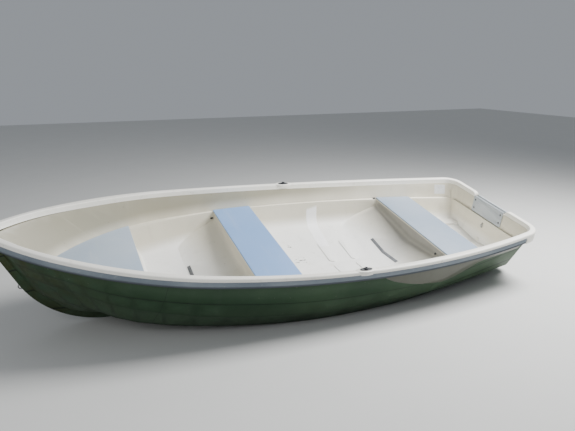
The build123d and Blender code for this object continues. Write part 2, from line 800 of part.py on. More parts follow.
def rested(parts):
    """Heel the boat over onto its keel's edge and port bilge, and centre it."""
    heeled = {name: Rot(-resting_heel(), 0, 0) * shape for name, shape in parts.items()}
    box = Compound(children=[Compound(s.solids()) for s in heeled.values()]).bounding_box()
    shift = Pos(-(box.min.X + box.max.X) / 2, -(box.min.Y + box.max.Y) / 2, -box.min.Z)
    return {name: shift * shape for name, shape in heeled.items()}


os.makedirs("parts", exist_ok=True)
for name, shape in rested(make_parts()).items():
    solids = shape.solids()
    export_step(solids[0] if len(solids) == 1 else Compound(solids), f"parts/{name}.step")
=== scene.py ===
import bpy, bmesh
from math import atan2, cos, pi, radians, sin, sqrt
from mathutils import Matrix, Vector
from mathutils.bvhtree import BVHTree


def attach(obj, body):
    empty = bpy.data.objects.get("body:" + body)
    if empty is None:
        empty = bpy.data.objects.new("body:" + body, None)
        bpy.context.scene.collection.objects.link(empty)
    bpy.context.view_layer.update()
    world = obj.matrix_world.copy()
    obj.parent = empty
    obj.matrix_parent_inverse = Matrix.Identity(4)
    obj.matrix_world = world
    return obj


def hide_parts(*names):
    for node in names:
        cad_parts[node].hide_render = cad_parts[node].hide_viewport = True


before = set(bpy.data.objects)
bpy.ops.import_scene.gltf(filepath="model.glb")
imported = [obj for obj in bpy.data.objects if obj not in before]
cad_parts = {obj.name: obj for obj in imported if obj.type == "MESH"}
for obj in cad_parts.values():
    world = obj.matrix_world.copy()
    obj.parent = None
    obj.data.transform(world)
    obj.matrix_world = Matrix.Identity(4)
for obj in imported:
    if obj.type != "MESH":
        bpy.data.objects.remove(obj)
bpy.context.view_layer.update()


# The camera stands at the bow end on the port side, as high as a person's eyes, and looks
# aft and down into the boat. The light is a pale overcast sky with two broad soft lamps.
photo_width = 575
focal_length_in_pixels = 569.948
sensor_width = 36
camera_place = Vector((1.55386, 3.75578, 1.68901))
camera = bpy.data.objects.new("camera", bpy.data.cameras.new("camera"))
bpy.context.scene.collection.objects.link(camera)
camera_right = Vector((-0.920473, 0.390805, -0.000366))
camera_up = Vector((-0.099562, -0.233596, 0.967223))
camera_back = camera_right.cross(camera_up)
camera_turn = Matrix((camera_right, camera_up, camera_back)).transposed().to_4x4()
camera.matrix_world = Matrix.Translation(camera_place) @ camera_turn
camera.data.sensor_fit = "HORIZONTAL"
camera.data.sensor_width = sensor_width
camera.data.lens = focal_length_in_pixels / photo_width * sensor_width
bpy.context.scene.camera = camera

sky = bpy.data.worlds.new("overcast")
sky.use_nodes = True
overcast = sky.node_tree.nodes["Background"]
overcast.inputs["Color"].default_value = (0.86, 0.92, 1.0, 1)
overcast.inputs["Strength"].default_value = 0.36
bpy.context.scene.world = sky
for name, place, aim, size, power in (
    ("lamp_over", (-3.4, 0.4, 3.9), (0, 0.1, 0), 2.2, 540),
    ("lamp_bow", (4.0, 3.2, 2.6), (0, 0, 0.3), 3.0, 60),
):
    lamp = bpy.data.objects.new(name, bpy.data.lights.new(name, "AREA"))
    lamp.data.size = size
    lamp.data.energy = power
    lamp.location = place
    lamp.rotation_euler = (Vector(aim) - Vector(place)).to_track_quat("-Z", "Y").to_euler()
    bpy.context.scene.collection.objects.link(lamp)


# The outer moulding is glass fibre with a dark green gel coat, laid up in one mould with
# moulded laps along each side. Years outdoors have left it mottled, scuffed and dusty.
boat_length = 4.0

# The boat lies heeled on its port bilge. to_rest takes its own upright frame, X forward
# from the transom, Y to port and Z up from the keel, to where it rests.
heel = radians(12.20123776)
rest_place = Vector((-1.993912, -0.112081, 0.006586))
to_rest = Matrix.Translation(rest_place) @ Matrix.Rotation(-heel, 4, "X")
to_upright = to_rest.inverted()


class Level:
    """One value or colour running through a finish, whose operators add Math nodes."""

    def __init__(self, finish, socket):
        self.finish, self.socket = finish, socket

    def sum(self, operation, a, b):
        return self.finish.node("ShaderNodeMath", {"operation": operation}, {0: a, 1: b})

    def __add__(self, other):
        return self.sum("ADD", self, other)

    def __radd__(self, other):
        return self.sum("ADD", other, self)

    def __sub__(self, other):
        return self.sum("SUBTRACT", self, other)

    def __rsub__(self, other):
        return self.sum("SUBTRACT", other, self)

    def __mul__(self, other):
        return self.sum("MULTIPLY", self, other)

    def __rmul__(self, other):
        return self.sum("MULTIPLY", other, self)

    def __abs__(self):
        return self.sum("ABSOLUTE", self, 0.0)

    def greater(self, other):
        return self.sum("MAXIMUM", self, other)

    def rise(self, start, end):
        """0 below start and 1 above end, smooth between."""
        return self.finish.node("ShaderNodeMapRange", {"interpolation_type": "SMOOTHSTEP"},
                                {"Value": self, "From Min": start, "From Max": end})

    def band(self, low, high, soft):
        """1 between low and high, fading out over soft on both sides."""
        return self.rise(low - soft, low + soft) * (1 - self.rise(high - soft, high + soft))


def set_node(made, settings):
    """Give a new node its settings. points are the corners of its curve."""
    for key, value in settings.items():
        if key == "points":
            curve = made.mapping.curves[0]
            for place, height in value[1:-1]:
                curve.points.new(place, height)
            for point, (place, height) in zip(curve.points, value):
                point.location = (place, height)
                point.handle_type = "VECTOR"
            made.mapping.update()
        else:
            setattr(made, key, value)


class Finish:
    """A material in the making, on the boat's upright coordinates."""

    def __init__(self, name):
        self.material = bpy.data.materials.new(name)
        self.material.use_nodes = True
        self.tree = self.material.node_tree
        self.shader = self.tree.nodes["Principled BSDF"]
        place = self.node("ShaderNodeTexCoord", {}, {}, "Object")
        home = to_upright.to_translation()
        self.upright = self.node("ShaderNodeMapping", {}, {
            "Vector": place, "Location": home, "Rotation": (heel, 0, 0)}, "Vector")
        axes = self.node("ShaderNodeSeparateXYZ", {}, {"Vector": self.upright}, "X")
        self.x = axes
        self.y = Level(self, axes.socket.node.outputs["Y"])
        self.z = Level(self, axes.socket.node.outputs["Z"])

    def node(self, kind, settings, inputs, output=0):
        """Any node: its type, its settings, and values or links by socket."""
        made = self.tree.nodes.new(kind)
        set_node(made, settings)
        for key, value in inputs.items():
            socket = made.inputs[key]
            if isinstance(value, Level):
                self.tree.links.new(value.socket, socket)
            else:
                if socket.type == "RGBA" and len(value) == 3:
                    value = (*value, 1)
                socket.default_value = value
        return Level(self, made.outputs[output])

    def stretched(self, x, y, z):
        """The upright coordinates scaled along each axis."""
        return self.node("ShaderNodeMapping", {}, {
            "Vector": self.upright, "Scale": (x, y, z)}, "Vector")

    def noise(self, scale, detail=4.0, roughness=0.55, where=None):
        return self.node("ShaderNodeTexNoise", {}, {
            "Vector": where or self.upright, "Scale": scale, "Detail": detail,
            "Roughness": roughness}, "Fac")

    def specks(self, spacing, size, share):
        """Round specks in a share of the cells of a loose grid, 1 on a speck."""
        cells = self.node("ShaderNodeTexVoronoi", {}, {
            "Vector": self.upright, "Scale": 1 / spacing}, "Distance")
        pick = Level(self, cells.socket.node.outputs["Color"])
        chosen = self.node("ShaderNodeSeparateColor", {}, {"Color": pick}, "Red")
        spots = 1 - cells.rise(size / spacing * 0.6, size / spacing)
        return spots * (1 - chosen.rise(share, share + 0.02))

    def mix(self, first, second, share):
        """first where share is 0 and second where it is 1."""
        return self.node("ShaderNodeMix", {"data_type": "RGBA"}, {0: share, 6: first, 7: second}, 2)

    def set(self, name, value):
        socket = self.shader.inputs[name]
        if isinstance(value, Level):
            self.tree.links.new(value.socket, socket)
        else:
            socket.default_value = (*value, 1) if socket.type == "RGBA" else value

    def relief(self, height, depth):
        """Bump by a height field, depth in metres for a height of 1."""
        self.set("Normal", self.node("ShaderNodeBump", {}, {
            "Height": height, "Distance": depth, "Strength": 1.0}, "Normal"))


merge_gap = 2e-5


def merged_shape(name):
    """A CAD node's faces with their shared points merged."""
    shape = bmesh.new()
    shape.from_mesh(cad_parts[name].data)
    bmesh.ops.remove_doubles(shape, verts=shape.verts, dist=merge_gap)
    return shape


def evaluated_mesh(piece):
    """The plain mesh that a piece's modifiers give."""
    bpy.context.view_layer.update()
    depsgraph = bpy.context.evaluated_depsgraph_get()
    return bpy.data.meshes.new_from_object(piece.evaluated_get(depsgraph))


def finished_copy(name, edge, steps=2, crease=30, flat=0.4):
    """Copy of a CAD node with flat faces merged, rounded edges and smooth shading."""
    shape = merged_shape(name)
    bmesh.ops.dissolve_limit(
        shape, angle_limit=radians(flat), verts=shape.verts, edges=shape.edges)
    mesh = bpy.data.meshes.new(name + "_finished")
    shape.to_mesh(mesh)
    shape.free()
    mesh.shade_smooth()
    piece = bpy.data.objects.new(name + "_finished", mesh)
    bpy.context.scene.collection.objects.link(piece)
    bevel = piece.modifiers.new("edge", "BEVEL")
    bevel.width = edge
    bevel.segments = steps
    bevel.limit_method = "ANGLE"
    bevel.angle_limit = radians(crease)
    bevel.harden_normals = True
    bevel.miter_outer = "MITER_ARC"
    piece.data = evaluated_mesh(piece)
    piece.modifiers.clear()
    return piece


def fit_on(piece, finish, slot, *nodes):
    """Give a piece its material, hang it on the root body and hide the CAD nodes it stands for."""
    piece.data.materials.clear()
    piece.data.materials.append(finish.material)
    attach(piece, "root")
    if nodes:
        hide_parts(*nodes)


def lap_lines():
    """Each port lap's inner corner as (x, height) pairs, read off the hull's faces."""
    widest_under, off_the_keel, shortest_lap = 0.006, 0.03, 0.3
    most_outward, least_downward = 0.12, 0.3
    shape = merged_shape("hull_shell")
    shape.transform(to_upright)
    shape.normal_update()
    narrow = [f for f in shape.faces
              if f.calc_area() < widest_under * max(e.calc_length() for e in f.edges)]
    unders = {f for f in narrow if f.calc_center_median().y > off_the_keel
              and f.normal.y < most_outward and f.normal.z < -least_downward}
    lines = []
    while unders:
        patch, found = [unders.pop()], {}
        while patch:
            face = patch.pop()
            for v in face.verts:
                x = round(v.co.x, 3)
                found[x] = max(found.get(x, 0), v.co.z)
            near = {f for e in face.edges for f in e.link_faces} & unders
            unders -= near
            patch += near
        if max(found) - min(found) > shortest_lap:
            lines.append(sorted(found.items()))
    shape.free()
    return lines


green = Finish("green_gel_coat")
broad = green.noise(1.7, 5)
cloudy = green.noise(9.0, 6, 0.65)
runs = green.noise(5.0, 5, 0.6, green.stretched(2.2, 2.2, 0.35))
grain = green.noise(260.0, 3)
colour = green.mix((0.023, 0.053, 0.026), (0.045, 0.085, 0.043), (broad * 1.4 - 0.2).rise(0.2, 0.8))
colour = green.mix(colour, (0.050, 0.076, 0.050), runs.rise(0.52, 0.78) * 0.45)
# Mud low down, a painted fill light on the lower strakes, algae at the bow, dust, and a painted
# shadow line under each lap
low_dirt = (1 - green.z.rise(0.06, 0.24)) * cloudy.rise(0.35, 0.65)
# Painted light: the lower strakes face down, so they are lifted to a lighter green
painted_fill_share = 1 - green.z.rise(0.27, 0.40)
colour = green.mix(colour, (0.066, 0.100, 0.060), painted_fill_share * 0.35)
colour = green.mix(colour, (0.022, 0.022, 0.013), low_dirt * 0.45)
bow_algae = green.x.rise(3.0, 3.9) * cloudy.rise(0.3, 0.7)
colour = green.mix(colour, (0.040, 0.043, 0.011), bow_algae * 0.85)
dust = green.specks(0.035, 0.0035, 0.30)
colour = green.mix(colour, (0.22, 0.23, 0.18), dust * 0.6)
# Painted shadow: a dark line on the strake just under each lap
lap_shadow = green.x * 0.0
for line in lap_lines():
    height = green.node("ShaderNodeFloatCurve", {
        "points": [(x / boat_length, z) for x, z in line]}, {
        "Value": green.x * (1 / boat_length)}, "Value")
    lap_shadow = lap_shadow.greater((height - green.z).band(0.002, 0.0125, 0.002))
lap_shadow = lap_shadow * green.x.rise(0.012, 0.02)
colour = green.mix(colour, (0.004, 0.007, 0.005), lap_shadow * 0.85)
green.set("Base Color", colour)
green.set("Roughness", 0.46 + 0.22 * cloudy + 0.2 * low_dirt)
green.set("Specular IOR Level", 0.28)
green.relief(broad * 0.6 + cloudy * 0.05 + grain * 0.006, 0.004)
# A fine flat limit keeps the curved strakes smooth
hull = finished_copy("hull_shell", 0.0008, 1, crease=40, flat=0.05)
fit_on(hull, green, "hull_green", "hull_shell")


# The inner moulding is glass fibre with a cream gel coat: seat boxes, ledge and the three
# wells in one. It is greyed by dirt, paler where feet rub, and patched with a white strip,
# with painted shade under the seat boards' front edges.
cream = Finish("inner_cream_gel_coat")
broad = cream.noise(1.4, 5)
cloudy = cream.noise(11.0, 6, 0.6)
runs = cream.noise(4.0, 5, 0.6, cream.stretched(3.0, 3.0, 0.3))
grain = cream.noise(300.0, 2)
ledge_height = 0.378
wall = cream.mix((0.68, 0.64, 0.52), (0.76, 0.72, 0.60), broad.rise(0.3, 0.7))
upper_share = cream.z.rise(0.40, 0.50) * (0.10 + 0.90 * cream.x.rise(0.5, 1.6))
wall = cream.mix(wall, (0.39, 0.365, 0.275), upper_share)
floor_share = 1 - cream.z.rise(0.18, 0.30)
colour = cream.mix(wall, (0.93, 0.93, 0.91), floor_share * 0.9)
colour = cream.mix(colour, (0.50, 0.47, 0.38), runs.rise(0.55, 0.80) * 0.30)
colour = cream.mix(colour, (0.45, 0.43, 0.36), cloudy.rise(0.60, 0.80) * 0.22)
# Painted shade on the seat boxes' fronts under the boards' front edges, below the ledge and between
# the hull's sides
under_aft_board = cream.x.band(0.80, 0.83, 0.02).greater(cream.x.band(0.80, 1.00, 0.14) * 0.8)
under_middle_board = cream.x.band(2.33, 2.36, 0.02).greater(cream.x.band(2.33, 2.45, 0.10) * 0.5)
below_ledge = 1 - cream.z.rise(ledge_height - 0.006, ledge_height + 0.006)
painted_board_shade = under_aft_board.greater(under_middle_board * 0.25) * below_ledge
painted_board_shade = painted_board_shade * abs(cream.y).band(-1.0, 0.56, 0.05) * (0.75 + 0.25 * cloudy)
colour = cream.mix(colour, (0.13, 0.13, 0.125), painted_board_shade * 0.88)
# Two scuffs on the floor of the middle well
marks = cream.noise(45.0, 3, 0.5, cream.stretched(0.7, 1.5, 1.0)).rise(0.56, 0.60)
first_mark = cream.x.band(1.765, 1.800, 0.006) * cream.y.band(-0.315, -0.270, 0.008)
second_mark = cream.x.band(1.720, 1.815, 0.008) * cream.y.band(-0.145, -0.065, 0.008)
colour = cream.mix(colour, (0.03, 0.028, 0.025), marks * first_mark.greater(second_mark) * 0.9)
# The white repair strip runs from the starboard wall on to the floor, a little slanted
strip_x, strip_y, strip_slant, strip_half_width = 1.4725, -0.4225, 0.104, 0.048
off_middle = cream.x - strip_x - (cream.y - strip_y) * strip_slant
patch = off_middle.band(-strip_half_width, strip_half_width, 0.003)
patch = patch * cream.y.band(-0.620, -0.235, 0.004)
colour = cream.mix(colour, (1.0, 1.0, 1.0), patch)
dots = cream.specks(0.060, 0.0032, 0.35).greater(cream.specks(0.021, 0.0012, 0.30))
colour = cream.mix(colour, (0.10, 0.08, 0.05), dots * 0.75)
cream.set("Base Color", colour)
cream.set("Roughness", 0.42 + 0.2 * cloudy)
cream.set("Coat Weight", 0.15)
cream.set("Coat Roughness", 0.3)
cream.relief(broad * 0.4 + patch * 0.25 + grain * 0.008, 0.004)
liner = finished_copy("inner_moulding", 0.006, 3)
fit_on(liner, cream, "inner_cream", "inner_moulding")


# The rim is moulded glass fibre, turned over the top of the hull and rounded on both
# edges. It widens at the bow, swells in an oval under each rowlock and stops at the motor's
# notch in two rounded ears.
rim_depth = 0.036
rim_inner_round = 0.009
rim_outer_round = 0.013
most_round_share = 0.45
most_lean = 0.016
notch_side = 0.1925
notch_edge = 0.192
ear_round = 0.034
ear_reach = 0.2
rubber_end = 0.170
rubber_lip = 0.013
rubber_seat = 0.003
no_seat = 0.0002
rowlock_x = 1.697
rowlock_y = 0.7258
boss_length, boss_width, boss_rise = 0.150, 0.062, 0.002
boss_reach = 0.085
boss_sides = 48
ray_reach = 3.0


def upright_solid(name):
    """A CAD node's faces, upright, ready for measuring rays."""
    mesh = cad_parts[name].data
    points = [to_upright @ v.co for v in mesh.vertices]
    return BVHTree.FromPolygons(points, [tuple(face.vertices) for face in mesh.polygons])


rim_solid = upright_solid("gunwale")


def rim_top(x):
    """Height of the rim's top: an arc through the transom, midships and the bow."""
    stern, rise, sag = 0.555, 0.204, 0.087
    half = Vector((boat_length, rise)) / 2
    across = Vector((-half.y, half.x)).normalized()
    low = half - Vector((0, sag))
    # The centre is as far from the low point as from the transom's end
    reach = (low.dot(low) / 2 - low.dot(half)) / low.dot(across)
    centre = half + across * reach
    radius = centre.length
    return stern + centre.y - sqrt(radius ** 2 - (x - centre.x) ** 2)


def rim_walk():
    """Starting points and directions round the port side, from the notch to the bow."""
    corner_x, corner_y, bow_x, narrows_x = 0.30, 0.25, 3.30, 2.30
    transom, corner, side, bow = 12, 24, 72, 60
    walk = []
    for k in range(transom):
        y = notch_side + (corner_y - notch_side) * k / transom
        walk.append(((corner_x, y), (-1.0, 0.0)))
    for k in range(corner):
        turn = pi / 2 * k / corner
        walk.append(((corner_x, corner_y), (-cos(turn), sin(turn))))
    for k in range(side):
        x = corner_x + (bow_x - corner_x) * k / side
        walk.append(((x, corner_y * (1 - max(0.0, x - narrows_x))), (0.0, 1.0)))
    for k in range(bow + 1):
        turn = pi / 2 * k / bow
        walk.append(((bow_x, 0.0), (sin(turn), cos(turn))))
    return walk


def rim_station(start, away):
    """Inner point, outer point and lean where a level ray crosses the rim at mid height.

    The rim's height varies, so rays at many heights are tried and the best match is kept.
    """
    tries = 60
    far_end = boat_length if away.x > 0 else 0.0
    best = None
    for k in range(tries):
        height = rim_top(start.x + (far_end - start.x) * k / (tries - 1)) - rim_depth / 2
        inner = rim_solid.ray_cast(Vector((start.x, start.y, height)), away, ray_reach)[0]
        if inner is None:
            continue
        miss = abs(rim_top(inner.x) - rim_depth / 2 - height)
        outer = rim_solid.ray_cast(inner + away, -away, ray_reach)[0]
        if outer and (best is None or miss < best[0]):
            best = (miss, inner, outer)
    if best is None:
        return None
    inner, outer = best[1:]
    just_over_foot = rim_top(inner.x) - rim_depth + 0.001
    foot = rim_solid.ray_cast(Vector((start.x, start.y, just_over_foot)), away, ray_reach)[0]
    lean = min(max((inner - foot).dot(away), 0), most_lean) if foot else 0
    return inner.xy.to_3d(), outer.xy.to_3d(), lean


# A ray near a rowlock would meet its boss, so the sweep has no station there
rim_stations = []
for start, way in rim_walk():
    station = rim_station(Vector(start), Vector((*way, 0)))
    if station and (way[0] != 0 or abs(station[0].x - rowlock_x) >= boss_reach):
        rim_stations.append(station)


def swept_ring(stations, section):
    """Closed mesh through stations of (inner point, outer point, lean).

    section gives a station's own outline as (metres outwards from inner, height) pairs.
    """
    mesh = bmesh.new()
    rows = []
    for inner, outer, lean in stations:
        out = (outer - inner).normalized()
        row = []
        for across, height in section(inner, outer, lean):
            place = inner + out * across
            row.append(mesh.verts.new(to_rest @ Vector((place.x, place.y, height))))
        rows.append(row)
    count = len(rows[0])
    for first, second in zip(rows, rows[1:]):
        for k in range(count):
            mesh.faces.new((first[k], first[(k + 1) % count], second[(k + 1) % count], second[k]))
    mesh.faces.new(rows[0])
    mesh.faces.new(rows[-1])
    bmesh.ops.recalc_face_normals(mesh, faces=mesh.faces)
    return mesh


def quarter(centre_across, centre_height, radius, start, steps=4):
    """Points on a quarter circle, from an angle in degrees and turning clockwise."""
    turns = [radians(start - 90 * k / steps) for k in range(steps + 1)]
    return [(centre_across + radius * cos(t), centre_height + radius * sin(t)) for t in turns]


def mesh_piece(name, mesh, crease=35):
    """A finished bmesh as a smooth shaded piece in the scene."""
    data = bpy.data.meshes.new(name)
    mesh.to_mesh(data)
    mesh.free()
    data.shade_smooth()
    data.set_sharp_from_angle(angle=radians(crease))
    piece = bpy.data.objects.new(name, data)
    bpy.context.scene.collection.objects.link(piece)
    return piece


def rim_section(inner, outer, lean):
    """Outline of the rim: flat under, rounded over both edges, lower at the notch's ears.

    Its outer face steps in at the bottom, where the fender's lip seats.
    """
    width = (outer - inner).length
    by_notch = outer.x < ear_reach
    into_ear = max(0.0, notch_edge + ear_round - abs(outer.y)) if by_notch else 0.0
    drop = ear_round - sqrt(max(0.0, ear_round ** 2 - into_ear ** 2))
    low = rim_top(outer.x) - rim_depth
    thick = rim_depth - drop
    near = min(rim_inner_round, thick * most_round_share)
    far = min(rim_outer_round, thick * most_round_share)
    top = low + thick
    seat = rubber_seat if outer.x > rubber_end else no_seat
    return ([(-lean, low)] + quarter(lean + near, top - near, near, 180)
            + quarter(width - far, top - far, far, 90)
            + [(width, low + rubber_lip), (width - seat, low + rubber_lip), (width - seat, low)])


def flipped(station):
    """The same station on the starboard side."""
    inner, outer, lean = station
    return Vector((inner.x, -inner.y, 0)), Vector((outer.x, -outer.y, 0)), lean


whole_rim = rim_stations + [flipped(s) for s in reversed(rim_stations[:-1])]
rim_mesh = swept_ring(whole_rim, rim_section)

# Oval swelling under each rowlock plate, lying along the sheer
sheer = atan2(rim_top(rowlock_x + 0.01) - rim_top(rowlock_x - 0.01), 0.02)
for side in (1, -1):
    middle = (rowlock_x, side * rowlock_y, rim_top(rowlock_x) + boss_rise)
    place = to_rest @ Matrix.Translation(middle) @ Matrix.Rotation(-sheer, 4, "Y")
    rings = []
    for inset, height in ((0.0, -0.030), (0.0, -0.003), (0.0009, -0.0009), (0.003, 0.0)):
        half_length, half_width = boss_length / 2 - inset, boss_width / 2 - inset
        turns = [2 * pi * k / boss_sides for k in range(boss_sides)]
        rings.append([rim_mesh.verts.new(place @ Vector((
            half_length * cos(turn), half_width * sin(turn), height))) for turn in turns])
    for first, second in zip(rings, rings[1:]):
        for k in range(boss_sides):
            n = (k + 1) % boss_sides
            rim_mesh.faces.new((first[k], first[n], second[n], second[k]))
    rim_mesh.faces.new(rings[-1])
    rim_mesh.faces.new(list(reversed(rings[0])))
rim = mesh_piece("rim", rim_mesh)

pale = Finish("rim_gel_coat")
broad = pale.noise(2.2, 5)
cloudy = pale.noise(16.0, 6, 0.65)
colour = pale.mix((0.86, 0.84, 0.76), (0.94, 0.92, 0.85), broad.rise(0.3, 0.7))
colour = pale.mix(colour, (0.48, 0.47, 0.42), cloudy.rise(0.56, 0.78) * 0.40)
dots = pale.specks(0.045, 0.003, 0.40).greater(pale.specks(0.018, 0.0012, 0.30))
colour = pale.mix(colour, (0.12, 0.10, 0.07), dots * 0.8)
pale.set("Base Color", colour)
pale.set("Roughness", 0.38 + 0.22 * cloudy)
pale.set("Coat Weight", 0.2)
pale.set("Coat Roughness", 0.25)
pale.relief(broad * 0.3 + pale.noise(280.0, 2) * 0.008, 0.003)
fit_on(rim, pale, "rim_cream", "gunwale")


# The turned-down corners of the rim at the stern end the fender. They are the rim's own
# moulding, so they share its finish.
for side in ("port", "starboard"):
    cap = finished_copy("stern_corner_" + side, 0.003, 3)
    fit_on(cap, pale, "rim_cream", "stern_corner_" + side)


# The fender is a soft extruded rubber band, pushed up under the rim's outer edge and
# round the bow. Its top has bleached grey-blue, and its underside is darkened with painted shade.
fender_height = 0.038
fender_depth = 0.021
fender_gap = 0.0003
fender_under_round = 0.010
lip_thickness = 0.0024
lip_gap = 0.0002
groove_down = 0.0215
groove_half_width = 0.0025
groove_depth = 0.0022


def fender_section(inner, outer, lean):
    """Band hanging under the rim, with a lip up its face and a groove along its own."""
    width = (outer - inner).length
    top = rim_top(outer.x) - rim_depth - fender_gap
    low = top - fender_height
    back = width - fender_depth
    lip_back = width - lip_thickness
    lip_top = top + rubber_lip - lip_gap
    lip_round = lip_thickness * 0.8
    lip = [(lip_back, top), (lip_back, lip_top - lip_thickness * 0.5)]
    lip += quarter(width - lip_round, lip_top - lip_round, lip_round, 90, 3)
    groove = [(width, top - groove_down + groove_half_width),
              (width - groove_depth, top - groove_down),
              (width, top - groove_down - groove_half_width)]
    turn = fender_under_round
    under = quarter(width - turn, low + turn, turn, 0, 5)
    return [(back, low), (back, top)] + lip + groove + under


rubber = Finish("grey_blue_rubber")
broad = rubber.noise(3.0, 5)
cloudy = rubber.noise(30.0, 6, 0.7)
drop = rubber.node("ShaderNodeAttribute", {"attribute_name": "drop"}, {}, "Fac")
colour = rubber.mix((0.15, 0.18, 0.215), (0.22, 0.255, 0.29), broad.rise(0.3, 0.7))
# Painted shade: darker towards the band's underside
colour = rubber.mix(colour, (0.030, 0.035, 0.042), drop.rise(0.40, 0.80) * 0.92)
bleached_top = cloudy.rise(0.58, 0.75) * (1 - drop.rise(0.3, 0.7))
colour = rubber.mix(colour, (0.46, 0.47, 0.46), bleached_top * 0.35)
rubber.set("Base Color", colour)
rubber.set("Roughness", 0.66 + 0.2 * cloudy)
rubber.relief(cloudy * 0.3 + rubber.noise(240.0, 3) * 0.08, 0.0012)
along_side = [s for s in rim_stations if s[1].x > rubber_end]
for side in ("port", "starboard"):
    stations = along_side if side == "port" else [flipped(s) for s in along_side]
    mesh = swept_ring(stations, fender_section)
    layer = mesh.verts.layers.float.new("drop")
    for v in mesh.verts:
        spot = to_upright @ v.co
        v[layer] = (rim_top(spot.x) - rim_depth - spot.z) / fender_height
    band = mesh_piece("fender_band_" + side, mesh, 50)
    fit_on(band, rubber, "fender_rubber", "fender_" + side)


# The raised cream panels under the fender aft are gel coated glass fibre, one with the
# hull's moulding and picked out in the inside's colour. Their colour here is painted far
# darker than that cream, as painted shade under the fender.
panel = Finish("side_panel_gel_coat")
broad = panel.noise(3.0, 5)
cloudy = panel.noise(20.0, 6, 0.65)
# Painted shade: the cream is painted down to a dark tone, as it lies under the fender
colour = panel.mix((0.062, 0.064, 0.044), (0.085, 0.087, 0.062), broad.rise(0.3, 0.7))
colour = panel.mix(colour, (0.045, 0.045, 0.030), cloudy.rise(0.55, 0.8) * 0.4)
panel.set("Base Color", colour)
panel.set("Roughness", 0.36 + 0.2 * cloudy)
panel.set("Coat Weight", 0.2)
panel.relief(broad * 0.3 + cloudy * 0.04, 0.003)
hull_solid = upright_solid("hull_shell")
panel_thickness = 0.0024
panel_edge_thickness = 0.0006
panel_rows = 28
panel_fine_step = 0.0015
panel_step = 0.015
panel_steps = 95
panel_aft_end = 0.150
panel_top_gap = 0.004
least_panel_height = 0.002
lap_reach = 0.004
# Height of the panel's lower edge at stations from the stern forward
# (station, height)
panel_edge = [
    (panel_aft_end, 0.388), (0.310, 0.393), (0.472, 0.397), (0.580, 0.401), (0.663, 0.391),
    (0.761, 0.355), (0.860, 0.322), (0.960, 0.311), (1.090, 0.323), (1.219, 0.349),
    (1.394, 0.397), (1.501, 0.444), (1.580, 0.500),
]


def panel_low(x):
    """The lower edge at any station, curved smoothly through its table."""
    k = max(k for k in range(len(panel_edge) - 1) if panel_edge[k][0] <= x + 1e-9)
    (x0, z0), (x1, z1) = panel_edge[k], panel_edge[k + 1]
    before = panel_edge[max(k - 1, 0)]
    after = panel_edge[min(k + 2, len(panel_edge) - 1)]
    m0 = (z1 - before[1]) / (x1 - before[0]) * (x1 - x0)
    m1 = (after[1] - z0) / (after[0] - x0) * (x1 - x0)
    t = (x - x0) / (x1 - x0)
    return ((2 * t ** 3 - 3 * t ** 2 + 1) * z0 + (t ** 3 - 2 * t ** 2 + t) * m0
            + (3 * t ** 2 - 2 * t ** 3) * z1 + (t ** 3 - t ** 2) * m1)


def skin_patch(solid, columns, side, outside, thickness, edge, spread=0.0):
    """Thin plate lying on the hull's outside or on an inner wall, thinner at its edge.

    columns are lists of (x, height). Over a lap it follows the proudest point in spread.
    """
    mesh = bmesh.new()
    start, out = (2, 1) if outside else (0, -1)
    sunk = -0.0015
    sheets = [[], []]
    for i, column in enumerate(columns):
        rows = [[], []]
        for j, (x, z) in enumerate(column):
            found = [solid.ray_cast(Vector((x, start, z + dz)), Vector((0, -out, 0)), ray_reach)[0]
                     for dz in (-spread, 0, spread)]
            surface = max((spot.y * out for spot in found if spot), default=0) * out
            on_edge = i in (0, len(columns) - 1) or j in (0, len(column) - 1)
            for row, depth in zip(rows, (sunk, edge if on_edge else thickness)):
                place = Vector((x, (surface + out * depth) * side, z))
                row.append(mesh.verts.new(to_rest @ place))
        for sheet, row in zip(sheets, rows):
            sheet.append(row)
    for sheet in sheets:
        for first, second in zip(sheet, sheet[1:]):
            for k in range(len(first) - 1):
                mesh.faces.new((first[k], first[k + 1], second[k + 1], second[k]))
    low, high = [
        [row[0] for row in sheet] + sheet[-1][1:]
        + [row[-1] for row in reversed(sheet[:-1])] + list(reversed(sheet[0][1:-1]))
        for sheet in sheets]
    for k in range(len(low)):
        n = (k + 1) % len(low)
        mesh.faces.new((low[k], low[n], high[n], high[k]))
    bmesh.ops.recalc_face_normals(mesh, faces=mesh.faces)
    return mesh


stations = [panel_aft_end, panel_aft_end + panel_fine_step]
stations += [panel_aft_end + panel_step * k for k in range(1, panel_steps + 1)]
panel_columns = []
for x in stations:
    low = panel_low(x)
    top = rim_top(x) - rim_depth - panel_top_gap
    if low < top - least_panel_height:
        steps = [0, panel_fine_step / max(top - low, 0.003)]
        steps += [k / panel_rows for k in range(1, panel_rows + 1)]
        panel_columns.append([(x, low + (top - low) * t) for t in steps])
for side, sign in (("port", 1), ("starboard", -1)):
    skin_mesh = skin_patch(hull_solid, panel_columns, sign, True,
                           panel_thickness, panel_edge_thickness, lap_reach)
    skin = mesh_piece("side_panel_skin_" + side, skin_mesh, 40)
    fit_on(skin, panel, "side_cream", "side_panel_" + side)


